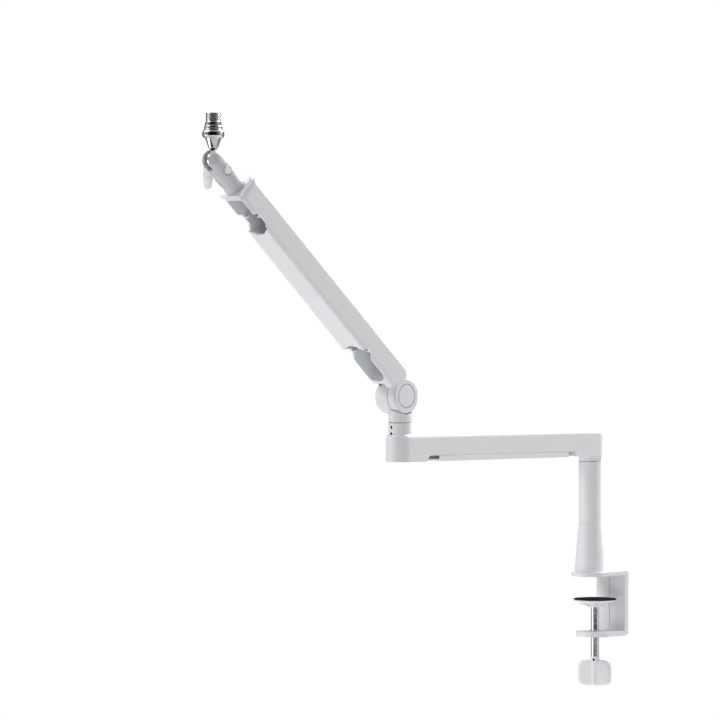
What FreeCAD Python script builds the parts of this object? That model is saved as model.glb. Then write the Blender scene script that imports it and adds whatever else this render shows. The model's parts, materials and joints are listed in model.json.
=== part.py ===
import FreeCAD, Part
import os
import re
import Sketcher
from FreeCAD import Placement, Rotation, Vector

# Low-profile microphone boom arm with a desk clamp.
# Frame: +Z up, the origin on the swivel axis at the clamp's desk face, arms towards -X.
# Millimetres throughout.  Every driving size is a cell of the sheet "sizes".

SIZES = {
    # desk clamp
    "bracket_width": 45, "plate_thickness": 5, "lower_plate_thickness": 6, "throat_height": 66.5,
    "wall_inner_x": 38, "wall_thickness": 6.5, "bracket_corner": 6,
    "groove_width": 5, "groove_depth": 0.8,
    "screw_offset": 9, "screw_radius": 5, "nut_radius": 8, "thread_play": 0.1,
    "pad_gap": 27.5, "rubber_radius": 25.8, "rubber_thickness": 1.2, "dish_height": 9,
    "dish_hub_radius": 10, "pad_ball_radius": 4, "knob_top": 101.5, "knob_width": 41, "knob_height": 31,
    "knob_thickness": 9, "knob_corner": 12, "knob_hub_wall": 0.4, "knob_turn": -64, "knob_pin_radius": 1.5,
    "knob_collar_flare": 0.6, "knob_collar_rise": 4.5, "knob_pin_rise": 0.8,
    # riser
    "cone_bottom_radius": 18.5, "tube_radius": 13.5, "cone_height": 59, "tube_height": 73.5,
    "tube_bore": 11, "joiner_radius": 8, "base_screw_radius": 4, "washer_thickness": 0.5,
    "swivel_pin_radius": 7, "bush_wall": 1.5, "bush_length": 14, "running_play": 0.05,
    "seam_chamfer": 0.5, "stop_screw_radius": 2.5,
    # lower arm
    "lower_length": 326, "riser_end_radius": 15, "elbow_end_radius": 16.2, "lower_height": 32,
    "lower_edge": 6, "collar_height": 6, "boss_radius": 13.5, "boss_top_gap": 12, "wall": 2.8,
    "lower_ceiling": 6, "channel_end_gap": 24, "lower_lip": 6.5, "recess_slant": 5,
    "lower_recess_near": 36, "lower_recess_end": 27, "lower_cover_near": 56, "lower_cover_end": 50,
    "cover_floor": 2, "cover_rib": 1.4, "cover_rib_height": 6, "cover_play": 0.15,
    "set_screw_radius": 2, "set_screw_spacing": 7.4, "set_screw_drop": 5, "set_screw_turn": -5,
    # elbow
    "pivot_height": 42.3, "barrel_radius": 20, "barrel_far": 21.5, "barrel_near": 10, "seam_y": 1.1,
    "friction_thickness": 1, "saddle_gap": 0.9, "barrel_gap": 0.7, "barrel_edge": 2.5,
    "root_relief_shift": 4, "root_relief_gap": 3.9,
    "hinge_bolt_radius": 4, "hinge_cap_radius": 12.5, "hinge_cap_depth": 3, "hinge_ring_gap": 1.15,
    "spring_outer": 8.5, "grub_radius": 2, "grub_angle": 41, "grub_y": 16.5, "elbow_pin_depth": 34,
    # upper arm, in its own frame: pivot at the origin, arm towards -X
    "pitch": 41.2, "upper_length": 336, "upper_middle_y": 6, "upper_root_half": 15.9,
    "upper_tip_half": 14.5, "upper_height": 32, "upper_drop": 6.1, "upper_edge": 6, "nose_x": 24,
    "end_cap_thickness": 3.5, "upper_ceiling": 6, "upper_lip": 3.4, "upper_notch": 6.5,
    "upper_channel_near": 32.5, "upper_channel_end": 7, "upper_recess_near": 66, "upper_recess_end": 29,
    "channel_round": 11, "channel_corner": 4, "clip_near": 76, "clip_end": 40, "clip_reach": 5,
    "clip_width": 1.4, "upper_cover_near": 85, "upper_cover_end": 54, "cover_bite": 16, "cover_bite_depth": 7,
    # ball head
    "head_radius": 11.8, "head_axis_rise": 6.7, "collar_length": 13.5, "ball_distance": 43,
    "ball_radius": 8.5, "ball_play": 0.1, "slot_width": 8.8, "slot_back": 4.5, "head_seam": 0.4,
    "head_bolt_back": 15, "head_bolt_radius": 3, "head_bolt_cap_radius": 5.2, "head_bolt_ring": 1.3,
    "tongue_width": 5, "stem_neck_radius": 4, "stem_start": 12.8, "cone_small": 5.2, "cone_large": 8.5,
    "cone_end": 25.5, "flange_radius": 12, "flange_top": 31.5, "stud_radius": 7.94, "stud_start": 41.5,
    "stud_end": 50.5,
    "wing_hub_radius": 6.5, "wing_hub_length": 13, "wing_reach": 20, "wing_thickness": 3.6,
}

# Places worked out from the sizes above, as expressions of them.
NAMES = {
    "riser_top": "(plate_thickness + cone_height + tube_height + washer_thickness)",
    "beam_z": "(riser_top + collar_height)",
    "beam_top": "(beam_z + lower_height)",
    "boss_top": "(beam_top + boss_top_gap)",
    "pivot_z": "(beam_top + pivot_height)",
    "head_start": "(upper_length + collar_length)",
    "ball_x": "(upper_length + ball_distance)",
    "knob_hub_radius": "(screw_radius + knob_hub_wall)",
    "knob_collar_radius": "(knob_hub_radius + knob_collar_flare)",
    "lower_recess_far": "(lower_length - lower_recess_end)",
    "lower_cover_far": "(lower_length - lower_cover_end)",
    "upper_channel_far": "(upper_length - upper_channel_end)",
    "upper_recess_far": "(upper_length - upper_recess_end)",
    "upper_cover_far": "(upper_length - upper_cover_end)",
    "clip_far": "(upper_length - clip_end)",
}

doc = FreeCAD.newDocument("boom_arm")
sheet = doc.addObject("Spreadsheet::Sheet", "sizes")
for row, (alias, number) in enumerate(SIZES.items(), start=1):
    sheet.set(f"A{row}", alias)
    sheet.set(f"B{row}", str(number))
    sheet.setAlias(f"B{row}", alias)
doc.recompute()


def spelled(text):
    """The sheet's expression for a size written in plain names."""
    text = str(text)
    while any(re.search(rf"\b{name}\b", text) for name in NAMES):
        text = re.sub(r"\b[a-z_]+\b", lambda word: NAMES.get(word[0], word[0]), text)
    return re.sub(r"\b[a-z_]+\b", lambda word: "sizes." + word[0] if word[0] in SIZES else word[0], text)


def bind(thing, prop, text):
    thing.setExpression(prop, spelled(text))


def bind_place(thing, at):
    for letter, text in zip("xyz", at):
        bind(thing, "Placement.Base." + letter, text)


TURNS = {
    "z": Rotation(),
    "x": Rotation(Vector(0, 1, 0), 90),
    "y": Rotation(Vector(1, 0, 0), -90),
    "-x": Rotation(Vector(0, 1, 0), -90),
}


class Piece:
    """One body of the document: additive and subtractive features, each bound to the sheet."""

    def __init__(self, label, several=False):
        self.body = doc.addObject("PartDesign::Body", label)
        self.body.Label = label
        self.body.AllowCompound = several
        self.count = 0

    def feature(self, kind, at, turn, **sizes):
        self.count += 1
        thing = self.body.newObject("PartDesign::" + kind, f"{self.body.Name}_{self.count}")
        thing.Placement = Placement(Vector(), turn)
        bind_place(thing, at)
        for prop, text in sizes.items():
            bind(thing, prop, text)
        return thing

    def box(self, at, size, cut=False, turn=Rotation()):
        kind = "SubtractiveBox" if cut else "AdditiveBox"
        return self.feature(kind, at, turn, Length=size[0], Width=size[1], Height=size[2])

    def cylinder(self, at, radius, height, axis="z", cut=False, turn=None):
        kind = "SubtractiveCylinder" if cut else "AdditiveCylinder"
        return self.feature(kind, at, turn or TURNS[axis], Radius=radius, Height=height)

    def cone(self, at, start, end, height, axis="z", cut=False):
        kind = "SubtractiveCone" if cut else "AdditiveCone"
        return self.feature(kind, at, TURNS[axis], Radius1=start, Radius2=end, Height=height)

    def sphere(self, at, radius, cut=False):
        return self.feature("SubtractiveSphere" if cut else "AdditiveSphere", at, Rotation(), Radius=radius)

    def wedge(self, at, start, end, z_low, z_high, length, cut=False):
        """A block along -X from at, whose half width runs from start to end."""
        kind = "SubtractiveWedge" if cut else "AdditiveWedge"
        turn = Rotation(Vector(0, 0, 1), 90)
        return self.feature(kind, at, turn, Xmin=f"-({start})", Xmax=start, X2min=f"-({end})", X2max=end,
                            Ymin=0, Ymax=length, Zmin=z_low, Zmax=z_high, Z2min=z_low, Z2max=z_high)

    def trough(self, x_far, x_near, z_low, height, slant, half, middle="0"):
        """A cut across the beam with sloping ends, open below."""
        turn = Rotation(Vector(1, 0, 0), 90)
        return self.feature("SubtractiveWedge", ("0", f"({middle}) + ({half})", z_low), turn,
                            Xmin=x_far, Xmax=x_near, X2min=f"({x_far}) + ({slant})",
                            X2max=f"({x_near}) - ({slant})", Ymin=0, Ymax=height,
                            Zmin=0, Zmax=f"2 * ({half})", Z2min=0, Z2max=f"2 * ({half})")

    def sketch(self, role):
        made = self.body.newObject("Sketcher::SketchObject", f"{self.body.Name}_sketch_{self.count}")
        plane = next(part for part in self.body.Origin.OriginFeatures if part.Role == role)
        made.AttachmentSupport = [(plane, "")]
        made.MapMode = "FlatFace"
        return made

    def pad(self, made, length, middle=False):
        self.count += 1
        thing = self.body.newObject("PartDesign::Pad", f"{self.body.Name}_{self.count}")
        thing.Profile = made
        thing.Midplane = middle
        bind(thing, "Length", length)
        made.Visibility = False
        return thing

    def round_over(self, radius, wanted, kind="Fillet"):
        """Fillet or chamfer the edges of the tip that wanted(edge) picks."""
        doc.recompute()
        tip = self.body.Tip
        names = [f"Edge{i}" for i, edge in enumerate(tip.Shape.Edges, start=1) if wanted(edge)]
        if not names:
            raise RuntimeError(f"{self.body.Label}: no edge to round")
        self.count += 1
        thing = self.body.newObject("PartDesign::" + kind, f"{self.body.Name}_{self.count}")
        thing.Base = (tip, names)
        bind(thing, "Radius" if kind == "Fillet" else "Size", radius)
        return thing


def near(a, b, slack=0.02):
    return abs(a - b) < slack


def value(text):
    """The number that an expression of the sizes stands for."""
    thing = doc.getObject("probe") or doc.addObject("App::FeaturePython", "probe")
    if "number" not in thing.PropertiesList:
        thing.addProperty("App::PropertyFloat", "number")
    bind(thing, "number", text)
    thing.recompute()
    return thing.number


def in_plane(edge, axis, place):
    """True where the whole edge lies at one coordinate of the axis."""
    box = edge.BoundBox
    low, high = (getattr(box, axis.upper() + end) for end in ("Min", "Max"))
    return near(low, place) and near(high, place)


def circle_of(edge, radius):
    return hasattr(edge.Curve, "Radius") and near(edge.Curve.Radius, radius)


# ---------------------------------------------------------------- desk clamp


def clamp_bracket():
    piece = Piece("clamp_bracket")
    half = "bracket_width / 2"
    depth = "throat_height + lower_plate_thickness"
    piece.cylinder(("0", "0", "0"), half, "plate_thickness")
    piece.box(("0", f"-{half}", "0"), ("wall_inner_x + wall_thickness", "bracket_width", "plate_thickness"))
    piece.box(("wall_inner_x", f"-{half}", f"-({depth})"),
              ("wall_thickness", "bracket_width", f"{depth} + plate_thickness"))
    piece.box(("screw_offset", f"-{half}", f"-({depth})"),
              ("wall_inner_x + wall_thickness - screw_offset", "bracket_width", "lower_plate_thickness"))
    piece.cylinder(("screw_offset", "0", f"-({depth})"), half, "lower_plate_thickness")
    back = value("wall_inner_x + wall_thickness")
    piece.round_over("bracket_corner",
                     lambda e: in_plane(e, "x", back) and in_plane(e, "z", -value(depth)))
    piece.round_over("bracket_corner / 2",
                     lambda e: in_plane(e, "x", back) and in_plane(e, "z", value("plate_thickness")))
    inner = value("wall_inner_x")
    piece.round_over("bracket_corner / 3",
                     lambda e: in_plane(e, "x", inner) and (in_plane(e, "z", 0)
                                                            or in_plane(e, "z", -value("throat_height"))))
    piece.box(("wall_inner_x - groove_depth", "-groove_width / 2", "-throat_height + bracket_corner / 2"),
              ("2 * groove_depth", "groove_width", "throat_height - bracket_corner"), cut=True)
    piece.cylinder(("0", "0", "-1"), "base_screw_radius + 0.2", "plate_thickness + 2", cut=True)
    piece.cone(("0", "0", "-0.01"), "2 * base_screw_radius + 0.6", "base_screw_radius + 0.6",
               "base_screw_radius", cut=True)
    piece.cylinder(("screw_offset", "0", f"-({depth}) - 1"), "nut_radius",
                   "lower_plate_thickness + 2", cut=True)
    return piece


def clamp_nut():
    piece = Piece("clamp_nut")
    bottom = "-(throat_height + lower_plate_thickness)"
    piece.cylinder(("screw_offset", "0", bottom), "nut_radius", "lower_plate_thickness")
    piece.cylinder(("screw_offset", "0", f"{bottom} - 1"), "screw_radius + thread_play",
                   "lower_plate_thickness + 2", cut=True)
    return piece


def base_screw():
    piece = Piece("base_screw")
    piece.cone(("0", "0", "0"), "2 * base_screw_radius", "base_screw_radius", "base_screw_radius")
    piece.cylinder(("0", "0", "0"), "base_screw_radius", "cone_height / 2")
    return piece


def riser_base_cone():
    piece = Piece("riser_base_cone")
    piece.cone(("0", "0", "plate_thickness"), "cone_bottom_radius", "tube_radius", "cone_height")
    piece.cylinder(("0", "0", "plate_thickness - 1"), "base_screw_radius",
                   "0.5 * cone_height - plate_thickness + 1.7", cut=True)
    piece.cylinder(("0", "0", "plate_thickness + 0.65 * cone_height"), "joiner_radius",
                   "0.35 * cone_height + 1", cut=True)
    piece.round_over("seam_chamfer", lambda e: circle_of(e, value("tube_radius")), "Chamfer")
    return piece


def riser_joiner():
    piece = Piece("riser_joiner")
    top = "plate_thickness + cone_height"
    piece.cylinder(("0", "0", "plate_thickness + 0.65 * cone_height"), "joiner_radius", "0.35 * cone_height")
    piece.cylinder(("0", "0", top), "tube_bore", "0.25 * tube_height")
    return piece


def riser_tube():
    piece = Piece("riser_tube")
    foot = "plate_thickness + cone_height"
    piece.cylinder(("0", "0", foot), "tube_radius", "tube_height")
    piece.cylinder(("0", "0", f"{foot} - 1"), "tube_bore", "tube_height + 2", cut=True)
    piece.round_over("seam_chamfer", lambda e: circle_of(e, value("tube_radius")), "Chamfer")
    piece.cylinder(("0", "0", f"{foot} + tube_height - 1.5 * bush_length"), "stop_screw_radius",
                   "2 * tube_radius", axis="x", cut=True)
    return piece


def riser_bush(label, top):
    piece = Piece(label)
    piece.cylinder(("0", "0", f"{top} - bush_length"), "tube_bore", "bush_length")
    piece.cylinder(("0", "0", f"{top} - bush_length - 1"), "swivel_pin_radius + running_play",
                   "bush_length + 2", cut=True)
    return piece


def riser_stop_screw():
    """Grub screw in the tube's back that runs in the swivel pin's groove and keeps it from lifting out."""
    piece = Piece("riser_stop_screw")
    height = "plate_thickness + cone_height + tube_height - 1.5 * bush_length"
    start = "swivel_pin_radius - 1"
    piece.cylinder((start, "0", height), "stop_screw_radius", f"tube_radius - 0.4 - ({start})", axis="x")
    piece.cylinder(("tube_radius - 2", "0", height), "0.5 * stop_screw_radius", "3", axis="x", cut=True)
    return piece


def swivel_washer():
    piece = Piece("swivel_washer")
    low = "riser_top - washer_thickness"
    piece.cylinder(("0", "0", low), "tube_radius - seam_chamfer", "washer_thickness")
    piece.cylinder(("0", "0", f"{low} - 1"), "swivel_pin_radius + 1", "washer_thickness + 2", cut=True)
    return piece


# ------------------------------------------------- pressure pad and its screw

PAD_X = "screw_offset"


def pad_rubber():
    piece = Piece("pad_rubber")
    piece.cylinder((PAD_X, "0", "-pad_gap - rubber_thickness"), "rubber_radius", "rubber_thickness")
    piece.round_over("0.35 * rubber_thickness", lambda e: circle_of(e, value("rubber_radius")))
    return piece


def pad_dish():
    piece = Piece("pad_dish")
    top = "-pad_gap - rubber_thickness"
    rim = "0.2 * dish_height"
    piece.cylinder((PAD_X, "0", f"{top} - {rim}"), "rubber_radius - 0.6", rim)
    piece.cone((PAD_X, "0", f"{top} - dish_height"), "dish_hub_radius", "rubber_radius - 0.6",
               f"dish_height - {rim}")
    piece.cylinder((PAD_X, "0", f"{top} - dish_height - 1"), "screw_radius + 0.6",
                   "dish_height - 1.5 + 1", cut=True)
    return piece


def pad_retainer():
    """Snap ring that keeps the screw's ball end in the dish."""
    piece = Piece("pad_retainer")
    low = "-pad_gap - rubber_thickness - dish_height"
    piece.cylinder((PAD_X, "0", low), "screw_radius + 0.6", "1.6")
    piece.cylinder((PAD_X, "0", f"{low} - 1"), "0.6 * screw_radius + 0.3", "4", cut=True)
    return piece


def clamp_screw():
    piece = Piece("clamp_screw")
    head = "-pad_gap - rubber_thickness - 1.9"
    low = "-(knob_top + knob_height - 4)"
    shoulder = "-pad_gap - rubber_thickness - dish_height - 0.4"
    piece.cylinder((PAD_X, "0", low), "screw_radius", f"{shoulder} - ({low})")
    piece.cylinder((PAD_X, "0", shoulder), "0.6 * screw_radius", f"{head} - ({shoulder}) - 2")
    piece.cylinder((PAD_X, "0", f"{head} - 5.2"), "pad_ball_radius", "5.2")
    piece.cylinder((PAD_X, "0", "knob_pin_rise - knob_top"), "knob_pin_radius", "20",
                   cut=True, turn=knob_pin_turn())
    piece.cylinder((PAD_X, "0", "knob_pin_rise - knob_top"), "knob_pin_radius", "20",
                   cut=True, turn=knob_pin_turn(back=True))
    return piece


def knob_pin_turn(back=False):
    """The pin lies square to the paddle's face."""
    angle = SIZES["knob_turn"] + (90 if back else -90)
    return Rotation(Vector(0, 0, 1), angle) * TURNS["x"]


def wing_knob():
    piece = Piece("wing_knob")
    low = "-(knob_top + knob_height)"
    half = "knob_width / 2"
    thick = "knob_thickness / 2"
    piece.box((f"-{half}", f"-{thick}", low), ("knob_width", "knob_thickness", "knob_height"))
    corner = value(half)
    piece.round_over("knob_corner", lambda e: near(abs(e.CenterOfMass.x), corner)
                     and in_plane(e, "x", e.CenterOfMass.x) and near(e.CenterOfMass.y, 0))
    side = value(thick)
    piece.round_over("0.3 * knob_thickness", lambda e: near(abs(e.CenterOfMass.y), side)
                     and in_plane(e, "y", e.CenterOfMass.y))
    piece.cylinder(("0", "0", low), "knob_hub_radius", "knob_height")
    piece.cone(("0", "0", "-knob_top - 1"), "knob_collar_radius", "knob_collar_radius - 0.4",
               "knob_collar_rise + 1")
    piece.cylinder(("0", "0", f"{low} + 4"), "screw_radius", "knob_height + 2", cut=True)
    piece.cylinder(("0", "-20", "knob_pin_rise - knob_top"), "knob_pin_radius", "40",
                   axis="y", cut=True)
    piece.body.Placement = Placement(Vector(), Rotation(Vector(0, 0, 1), SIZES["knob_turn"]))
    bind(piece.body, "Placement.Base.x", PAD_X)
    bind(piece.body, "Placement.Rotation.Angle", "knob_turn")
    return piece


def knob_pin():
    piece = Piece("knob_pin")
    piece.cylinder(("0", "0.4 - knob_collar_radius", "knob_pin_rise - knob_top"),
                   "knob_pin_radius", "2 * knob_collar_radius - 0.8", axis="y")
    piece.body.Placement = Placement(Vector(), Rotation(Vector(0, 0, 1), SIZES["knob_turn"]))
    bind(piece.body, "Placement.Base.x", PAD_X)
    bind(piece.body, "Placement.Rotation.Angle", "knob_turn")
    return piece


# ---------------------------------------------------------------- lower arm

TAPER = "((elbow_end_radius - riser_end_radius) / lower_length)"


def lower_half(distance, inset="0"):
    """The lower beam's half width at a distance from the riser axis."""
    return f"(riser_end_radius + {TAPER} * ({distance}) - ({inset}))"


def stadium(made, length, start, end):
    """A plan outline of two arcs and their common tangents, from the origin towards -X."""
    far = -value(length)
    r_near, r_far = value(start), value(end)
    made.addGeometry(Part.ArcOfCircle(Part.Circle(Vector(0, 0), Vector(0, 0, 1), r_near), -1.57, 1.57))
    made.addGeometry(Part.ArcOfCircle(Part.Circle(Vector(far, 0), Vector(0, 0, 1), r_far), 1.57, 4.71))
    made.addGeometry(Part.LineSegment(Vector(0, r_near), Vector(far, r_far)))
    made.addGeometry(Part.LineSegment(Vector(far, -r_far), Vector(0, -r_near)))
    rule = Sketcher.Constraint
    made.addConstraint(rule("Tangent", 0, 2, 2, 1))
    made.addConstraint(rule("Tangent", 2, 2, 1, 1))
    made.addConstraint(rule("Tangent", 1, 2, 3, 1))
    made.addConstraint(rule("Tangent", 3, 2, 0, 1))
    made.addConstraint(rule("Coincident", 0, 3, -1, 1))
    made.addConstraint(rule("PointOnObject", 1, 3, -1))
    made.addConstraint(rule("Radius", 0, r_near))
    made.addConstraint(rule("Radius", 1, r_far))
    made.addConstraint(rule("Distance", 1, 3, -1, 1, -far))
    for number, text in zip((6, 7, 8), (start, end, length)):
        bind(made, f"Constraints[{number}]", text)


def lower_beam():
    piece = Piece("lower_beam")
    outline = piece.sketch("XY_Plane")
    stadium(outline, "lower_length", "riser_end_radius", "elbow_end_radius")
    bind(outline, "AttachmentOffset.Base.z", "beam_z")
    piece.pad(outline, "lower_height")
    top = value("beam_top")
    piece.round_over("lower_edge", lambda e: in_plane(e, "z", top))
    piece.cylinder(("0", "0", "riser_top"), "tube_radius", "collar_height + 1")
    piece.round_over("seam_chamfer", lambda e: circle_of(e, value("tube_radius"))
                     and in_plane(e, "z", value("riser_top")), "Chamfer")
    piece.cylinder(("-lower_length", "0", "beam_top - lower_edge"), "boss_radius",
                   "boss_top_gap + lower_edge")
    piece.round_over("seam_chamfer", lambda e: circle_of(e, value("boss_radius"))
                     and in_plane(e, "z", value("boss_top")), "Chamfer")
    near_end, far_end = "channel_end_gap", "(lower_length - channel_end_gap)"
    piece.wedge(("-channel_end_gap", "0", "0"), lower_half(near_end, "wall"), lower_half(far_end, "wall"),
                "beam_z - 1", "beam_top - lower_ceiling", f"{far_end} - {near_end}", cut=True)
    piece.trough("-lower_recess_far", "-lower_recess_near", "beam_z - 0.01", "lower_lip",
                 "recess_slant", "2 * elbow_end_radius")
    piece.cylinder(("0", "0", "riser_top - 1"), "swivel_pin_radius", "collar_height + 0.7 * lower_height + 1",
                   cut=True)
    piece.cylinder(("-lower_length", "0", "boss_top - elbow_pin_depth - 1"),
                   "swivel_pin_radius + bush_wall", "elbow_pin_depth + 2", cut=True)
    for low in set_screw_heights():
        piece.cylinder(("-lower_length", "0", low), "set_screw_radius", "boss_radius + 5",
                       cut=True, turn=set_screw_axis())
    return piece


def set_screw_heights():
    return ["boss_top - set_screw_drop", "boss_top - set_screw_drop - set_screw_spacing"]


def set_screw_axis():
    return Rotation(Vector(0, 0, 1), SIZES["set_screw_turn"]) * TURNS["-x"]


def elbow_set_screws():
    piece = Piece("elbow_set_screws", several=True)
    for low in set_screw_heights():
        piece.cylinder(("-lower_length", "0", low), "set_screw_radius", "boss_radius - 0.6",
                       turn=set_screw_axis())
        piece.cylinder(("-lower_length", "0", low), "0.55 * set_screw_radius", "boss_radius + 1",
                       cut=True, turn=set_screw_axis())
        piece.cylinder(("-lower_length", "0", low), "0.6 * set_screw_radius", "boss_radius - 2.6",
                       turn=set_screw_axis())
    piece.cylinder(("-lower_length", "0", "boss_top - 2 * boss_radius"), "swivel_pin_radius + bush_wall",
                   "2 * boss_radius", cut=True)
    return piece


def swivel_pin():
    """The lower arm's pin, with a neck that the tube's screw runs in."""
    piece = Piece("swivel_pin")
    low = "plate_thickness + cone_height + 0.3 * tube_height"
    high = "riser_top + collar_height + 0.7 * lower_height"
    groove = "plate_thickness + cone_height + tube_height - 1.5 * bush_length"
    reach = "(stop_screw_radius + 0.4)"
    piece.cylinder(("0", "0", low), "swivel_pin_radius - 2", f"{high} - ({low})")
    piece.cylinder(("0", "0", low), "swivel_pin_radius", f"{groove} - {reach} - ({low})")
    piece.cylinder(("0", "0", f"{groove} + {reach}"), "swivel_pin_radius", f"{high} - ({groove}) - {reach}")
    return piece


def elbow_bush():
    piece = Piece("elbow_bush")
    low = "boss_top - elbow_pin_depth"
    piece.cylinder(("-lower_length", "0", low), "swivel_pin_radius + bush_wall", "elbow_pin_depth")
    piece.cylinder(("-lower_length", "0", f"{low} + 2"), "swivel_pin_radius + running_play",
                   "elbow_pin_depth", cut=True)
    return piece


def lower_cover():
    """Snap-in cover of the cable channel: a floor, two side lips and two ribs inside the walls."""
    piece = Piece("lower_cover")
    near_end, far_end = "lower_cover_near", "lower_cover_far"
    span = f"({far_end} - {near_end})"
    at = (f"-{near_end}", "0", "0")
    piece.wedge(at, lower_half(near_end), lower_half(far_end), "beam_z",
                "beam_z + lower_lip - cover_play", span)
    piece.wedge(at, lower_half(near_end, "wall"), lower_half(far_end, "wall"), "beam_z + cover_floor",
                "beam_z + lower_lip + 1", span, cut=True)
    cover_ribs(piece, near_end, far_end, lower_half, "0", "beam_z", "lower_lip")
    cover_ends(piece, near_end, far_end, "0", "beam_z", "lower_lip")
    return piece


def cover_ribs(piece, near_end, far_end, half, middle, low, lip):
    """Two low ribs that snap between the channel walls, clear of them by the cover play."""
    inner_near = half(near_end, "wall + cover_play")
    inner_far = half(far_end, "wall + cover_play")
    at = (f"-({near_end} + cover_bite_depth + 2)", middle, "0")
    span = f"({far_end} - {near_end} - 2 * (cover_bite_depth + 2))"
    piece.wedge(at, inner_near, inner_far, f"{low} + cover_floor - 0.5",
                f"{low} + {lip} + cover_rib_height", span)
    piece.wedge((f"-({near_end} + cover_bite_depth + 1)", middle, "0"), f"{inner_near} - cover_rib",
                f"{inner_far} - cover_rib", f"{low} + cover_floor", f"{low} + {lip} + cover_rib_height + 1",
                f"({far_end} - {near_end} - 2 * (cover_bite_depth + 1))", cut=True)


def cover_ends(piece, near_end, far_end, middle, low, lip):
    """A bite out of the floor at each end, where a cable passes in."""
    out = "(cover_bite - cover_bite_depth)"
    for place in (f"-({near_end}) + {out}", f"-({far_end}) - {out}"):
        piece.cylinder((place, middle, f"{low} - 1"), "cover_bite", f"{lip} + 12", cut=True)


# ---------------------------------------------------------------- elbow


def elbow_post():
    """The turning post: a pin in the boss, a neck, and the far half of the hinge barrel."""
    piece = Piece("elbow_post")
    neck_low = "boss_top + washer_thickness"
    piece.cylinder(("0", "0", neck_low), "boss_radius", f"pivot_z - ({neck_low}) - 4")
    piece.cylinder(("0", "-2 * barrel_radius", "pivot_z"), "barrel_radius + saddle_gap",
                   "2 * barrel_radius + seam_y + friction_thickness / 2", axis="y", cut=True)
    start = "seam_y + friction_thickness / 2"
    piece.cylinder(("0", start, "pivot_z"), "barrel_radius", f"barrel_far - ({start})", axis="y")
    far = value("barrel_far")
    piece.round_over("barrel_edge", lambda e: in_plane(e, "y", far))
    piece.round_over("seam_chamfer", lambda e: circle_of(e, value("boss_radius"))
                     and in_plane(e, "z", value(neck_low)), "Chamfer")
    piece.cylinder(("0", "0", "boss_top - elbow_pin_depth + 2.5"), "swivel_pin_radius",
                   "elbow_pin_depth - 2.5 + washer_thickness + 1")
    piece.cylinder(("0", "-1", "pivot_z"), "hinge_bolt_radius", "barrel_far - 1.5", axis="y", cut=True)
    piece.cylinder(("0", "grub_y", "pivot_z"), "grub_radius", "barrel_radius + 2", cut=True, turn=grub_axis())
    bind(piece.body, "Placement.Base.x", "-lower_length")
    return piece


def grub_axis():
    return Rotation(Vector(0, 1, 0), SIZES["grub_angle"] - 90)


def barrel_grub_screw():
    """Small screw that locks the hinge bolt in the barrel."""
    piece = Piece("barrel_grub_screw")
    piece.cylinder(("0", "0", "0"), "grub_radius", "barrel_radius - 1.2")
    piece.cylinder(("0", "0", "barrel_radius - 3.2"), "0.55 * grub_radius", "4", cut=True)
    piece.cylinder(("0", "-grub_radius - 1", "0"), "hinge_bolt_radius", "2 * grub_radius + 2",
                   axis="y", cut=True)
    piece.body.Placement = Placement(Vector(), Rotation(Vector(0, -1, 0), 90 - SIZES["grub_angle"]))
    bind(piece.body, "Placement.Rotation.Angle", "90 - grub_angle")
    bind_place(piece.body, ("-lower_length", "grub_y", "pivot_z"))
    return piece


def elbow_washer():
    piece = Piece("elbow_washer")
    piece.cylinder(("-lower_length", "0", "boss_top"), "boss_radius - seam_chamfer", "washer_thickness")
    piece.cylinder(("-lower_length", "0", "boss_top - 1"), "swivel_pin_radius + 1", "washer_thickness + 2",
                   cut=True)
    return piece


# ------------------------------------------------ upper arm, in its own frame


def set_on_arm(piece):
    """Carry a piece from the upper arm's own frame to its place on the elbow pivot."""
    piece.body.Placement = Placement(Vector(), Rotation(Vector(0, 1, 0), SIZES["pitch"]))
    bind(piece.body, "Placement.Rotation.Angle", "pitch")
    bind_place(piece.body, ("-lower_length", "0", "pivot_z"))
    return piece


UPPER_TAPER = "((upper_root_half - upper_tip_half) / upper_length)"


def upper_half(distance, inset="0"):
    """The upper beam's half width at a distance from the pivot."""
    return f"(upper_root_half - {UPPER_TAPER} * ({distance}) - ({inset}))"


def side_profile(made, start, end, low, height):
    """The upper beam from the side: a bar with a half-round nose at the pivot end."""
    rule = Sketcher.Constraint
    x_near, x_far = -value(start), -value(end)
    bottom, tall = value(low), value(height)
    made.addGeometry(Part.LineSegment(Vector(x_near, bottom), Vector(x_far, bottom)))
    made.addGeometry(Part.LineSegment(Vector(x_far, bottom), Vector(x_far, bottom + tall)))
    made.addGeometry(Part.LineSegment(Vector(x_far, bottom + tall), Vector(x_near, bottom + tall)))
    circle = Part.Circle(Vector(x_near, bottom + tall / 2), Vector(0, 0, 1), tall / 2)
    made.addGeometry(Part.ArcOfCircle(circle, -1.5708, 1.5708))
    made.addConstraint(rule("Coincident", 0, 2, 1, 1))
    made.addConstraint(rule("Coincident", 1, 2, 2, 1))
    made.addConstraint(rule("Horizontal", 0))
    made.addConstraint(rule("Vertical", 1))
    made.addConstraint(rule("Horizontal", 2))
    made.addConstraint(rule("Tangent", 2, 2, 3, 2))
    made.addConstraint(rule("Tangent", 3, 1, 0, 1))
    made.addConstraint(rule("DistanceY", 1, 1, 1, 2, tall))
    made.addConstraint(rule("DistanceX", 0, 1, -1, 1, -x_near))
    made.addConstraint(rule("DistanceX", 1, 1, -1, 1, -x_far))
    made.addConstraint(rule("DistanceY", 0, 1, -1, 1, -bottom))
    for number, text in zip((7, 8, 9, 10), (height, start, end, f"-({low})")):
        bind(made, f"Constraints[{number}]", text)


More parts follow.
